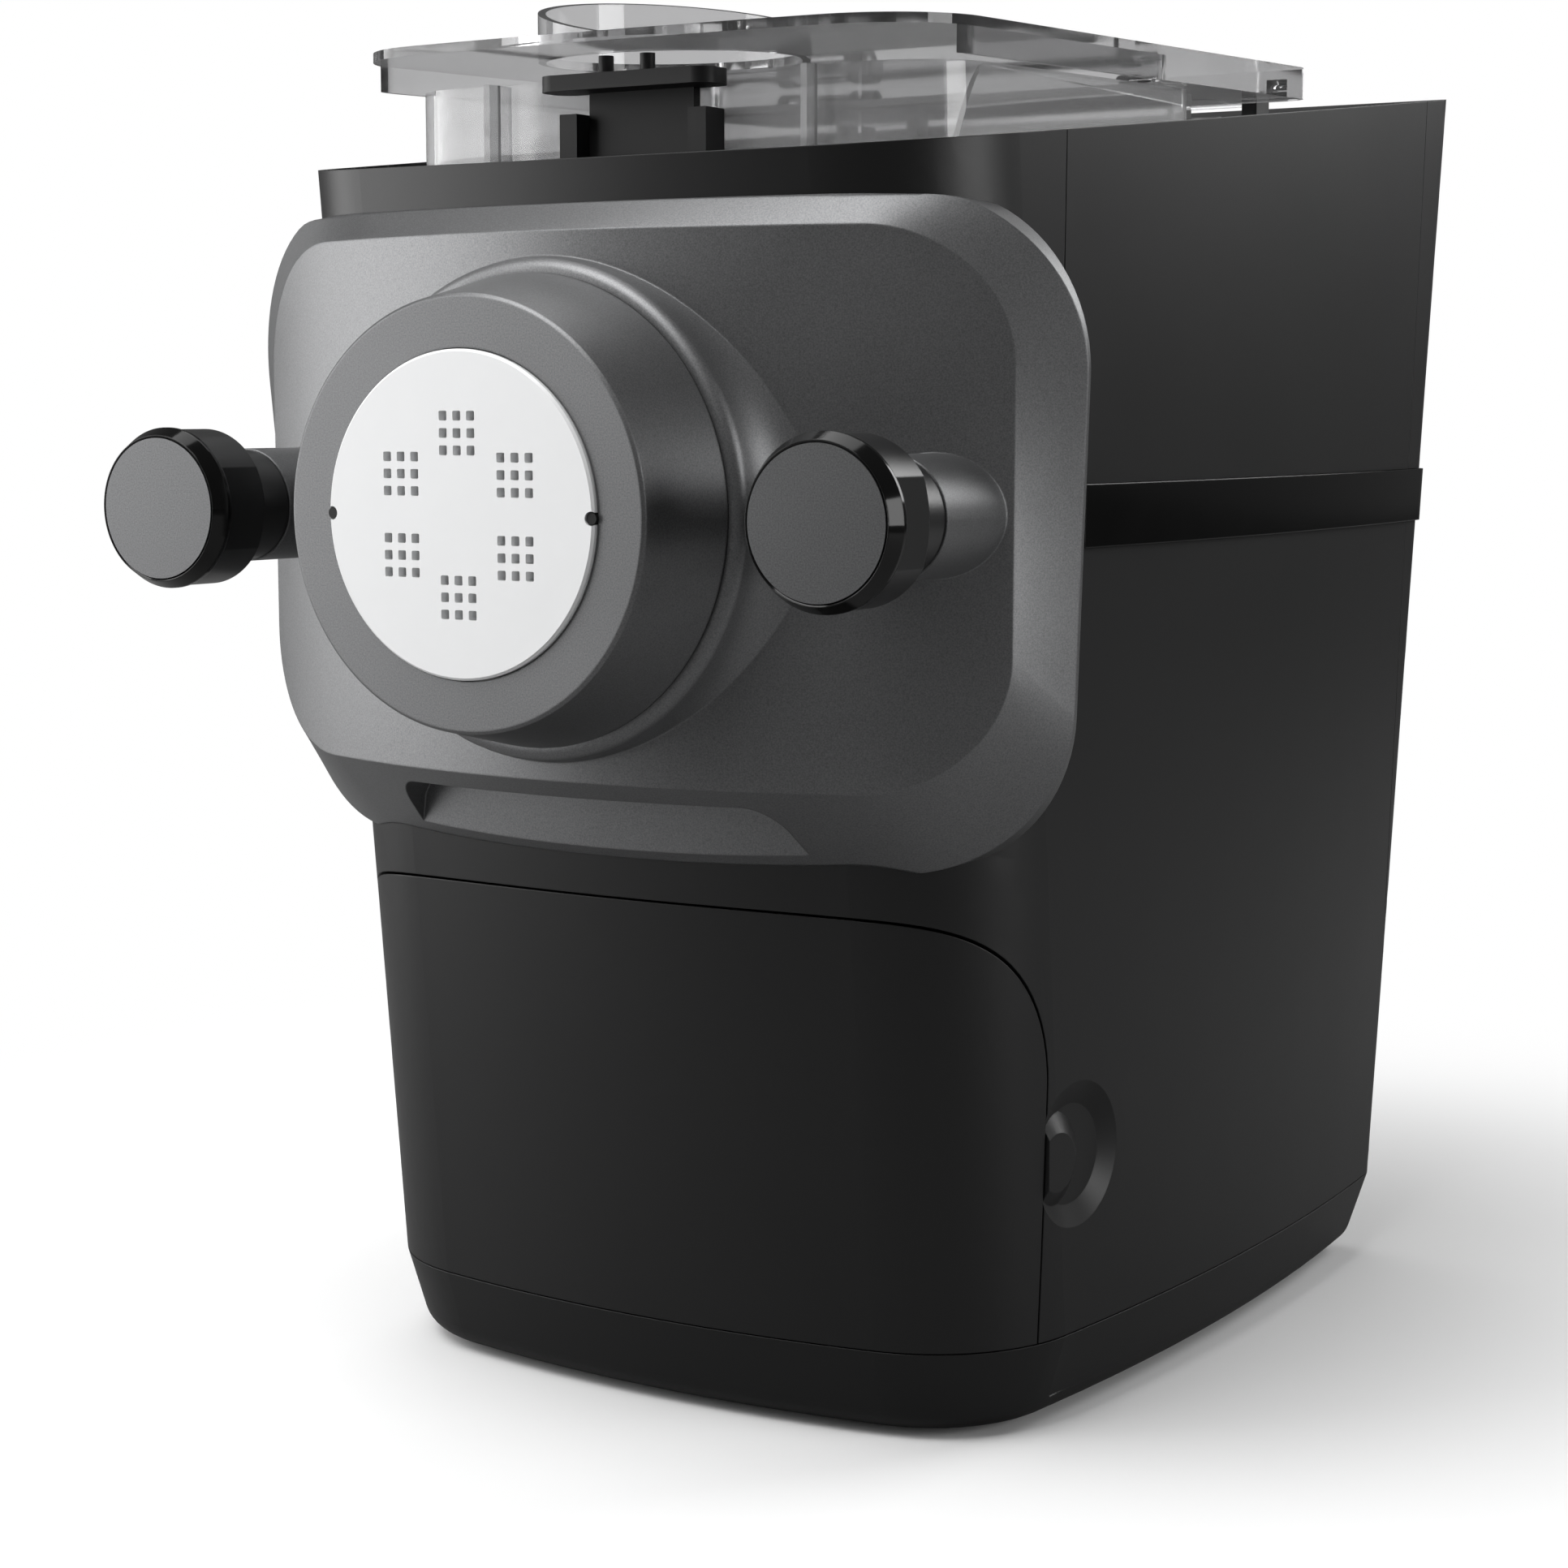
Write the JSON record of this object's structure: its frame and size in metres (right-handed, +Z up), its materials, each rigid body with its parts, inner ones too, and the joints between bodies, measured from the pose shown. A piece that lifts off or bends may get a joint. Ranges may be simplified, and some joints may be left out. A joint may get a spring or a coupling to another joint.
{
  "type": "electric pasta maker",
  "caption": "Countertop electric pasta maker: tapered body, removable front panel, shaping disc, two clamping knobs, clear chamber with hinged lid, geared drive and drawer.",
  "frame": {"origin": "middle of the footprint on the surface it stands on", "axes": "+Z up, -Y to the front where the pasta comes out, +X to the right seen from the front"},
  "size_m": [0.2598, 0.3868, 0.3893],
  "materials": {
    "housing_black": "fine satin texture",
    "panel_grey": "fine metallic satin",
    "gloss_black": "polished",
    "knob_black": "satin",
    "knob_face": "fine metallic satin",
    "inner_black": "moulded",
    "disc_white": "smooth",
    "white_plastic": "smooth",
    "gear_white": "moulded",
    "clear": "clear moulded plastic",
    "smoky": "smoky clear moulded plastic",
    "steel": "turned",
    "alloy": "cast",
    "board": "circuit board",
    "rubber": "matte"
  },
  "bodies": {
    "body": {"base_tray": "housing_black", "rubber_feet": "rubber", "load_cells": "alloy", "main_housing": "housing_black", "side_trim_left": "gloss_black", "side_trim_right": "gloss_black", "upper_front_shell": "housing_black", "rear_cover": "housing_black", "top_deck": "housing_black", "lid_hinge_pins": "steel", "display_window": "gloss_black", "control_board": "board", "tie_rods": "steel", "front_bulkhead": "inner_black", "mixing_chamber": "clear", "extrusion_tube": "inner_black", "latch_rails": "inner_black", "latch_pin": "steel", "idler_pin": "steel", "gear_plate": "alloy", "gearbox_cover": "inner_black", "shaft_bearing": "steel", "shaft_seal": "rubber", "motor": "alloy", "motor_cradle": "inner_black", "drawer_bay": "inner_black", "power_board": "board", "power_inlet": "inner_black", "switch_frame": "inner_black", "rear_screws": "steel"},
    "panel": {"front_panel": "panel_grey"},
    "ring": {"disc_ring": "panel_grey", "ring_nibs": "inner_black", "shaping_disc": "disc_white"},
    "left_clamp": {"left_knob": "knob_black", "left_knob_bezel": "gloss_black", "left_knob_cap": "knob_face"},
    "right_clamp": {"right_knob": "knob_black", "right_knob_bezel": "gloss_black", "right_knob_cap": "knob_face"},
    "drive": {"extrusion_screw": "white_plastic", "mixing_paddle": "white_plastic", "drive_shaft": "steel", "output_gear": "gear_white"},
    "idler": {"idler_gear": "gear_white"},
    "pinion": {"motor_pinion": "steel"},
    "drawer": {"drawer_front": "housing_black", "drawer_box": "inner_black"},
    "cover_lid": {"lid": "smoky"},
    "latch": {"lid_latch": "inner_black"},
    "program": {"program_button": "knob_black"},
    "start": {"start_button": "knob_black"},
    "menu": {"menu_button": "knob_black"},
    "rocker": {"power_rocker": "knob_black"}
  },
  "joints": [
    {"name": "drive_spin", "type": "hinge", "parent": "body", "child": "drive", "pos_m": [0, 0.09886, 0.247], "axis": [0, 1, 0], "continuous": true},
    {"name": "idler_spin", "type": "hinge", "parent": "body", "child": "idler", "pos_m": [0, 0.09886, 0.18925], "axis": [0, 1, 0], "continuous": true},
    {"name": "motor_spin", "type": "hinge", "parent": "body", "child": "pinion", "pos_m": [0, 0.09886, 0.1315], "axis": [0, 1, 0], "continuous": true},
    {"name": "panel_slide", "type": "slide", "parent": "body", "child": "panel", "axis": [0, -1, 0], "range_m": [0, 0.05]},
    {"name": "ring_turn", "type": "hinge", "parent": "panel", "child": "ring", "pos_m": [0, -0.18114, 0.247], "axis": [0, 1, 0], "range_deg": [0, 45]},
    {"name": "left_knob_turn", "type": "hinge", "parent": "panel", "child": "left_clamp", "pos_m": [-0.1, -0.18114, 0.247], "axis": [0, 1, 0], "range_deg": [0, 90]},
    {"name": "right_knob_turn", "type": "hinge", "parent": "panel", "child": "right_clamp", "pos_m": [0.1, -0.18114, 0.247], "axis": [0, 1, 0], "range_deg": [0, 90]},
    {"name": "drawer_slide", "type": "slide", "parent": "body", "child": "drawer", "axis": [0, -1, 0], "range_m": [0, 0.05]},
    {"name": "lid_hinge", "type": "hinge", "parent": "body", "child": "cover_lid", "pos_m": [0, 0.12484, 0.3715], "axis": [-1, 0, 0], "range_deg": [0, 80]},
    {"name": "latch_hinge", "type": "hinge", "parent": "body", "child": "latch", "pos_m": [0, -0.11274, 0.32], "axis": [1, 0, 0], "range_deg": [0, 12]},
    {"name": "program_press", "type": "slide", "parent": "body", "child": "program", "axis": [0, 0.1103, -0.9939], "range_m": [0, 0.0012], "stiffness_N_per_m": 400},
    {"name": "start_press", "type": "slide", "parent": "body", "child": "start", "axis": [0, 0.1103, -0.9939], "range_m": [0, 0.0012], "stiffness_N_per_m": 400},
    {"name": "menu_press", "type": "slide", "parent": "body", "child": "menu", "axis": [0, 0.1103, -0.9939], "range_m": [0, 0.0012], "stiffness_N_per_m": 400},
    {"name": "power_rock", "type": "hinge", "parent": "body", "child": "rocker", "pos_m": [-0.07, 0.15042, 0.062], "axis": [1, 0, 0], "range_deg": [0, 10]}
  ],
  "couplings": [
    {"joint": "idler_spin", "follows": "drive_spin", "ratio": -3.125},
    {"joint": "motor_spin", "follows": "drive_spin", "ratio": 9.7656}
  ]
}
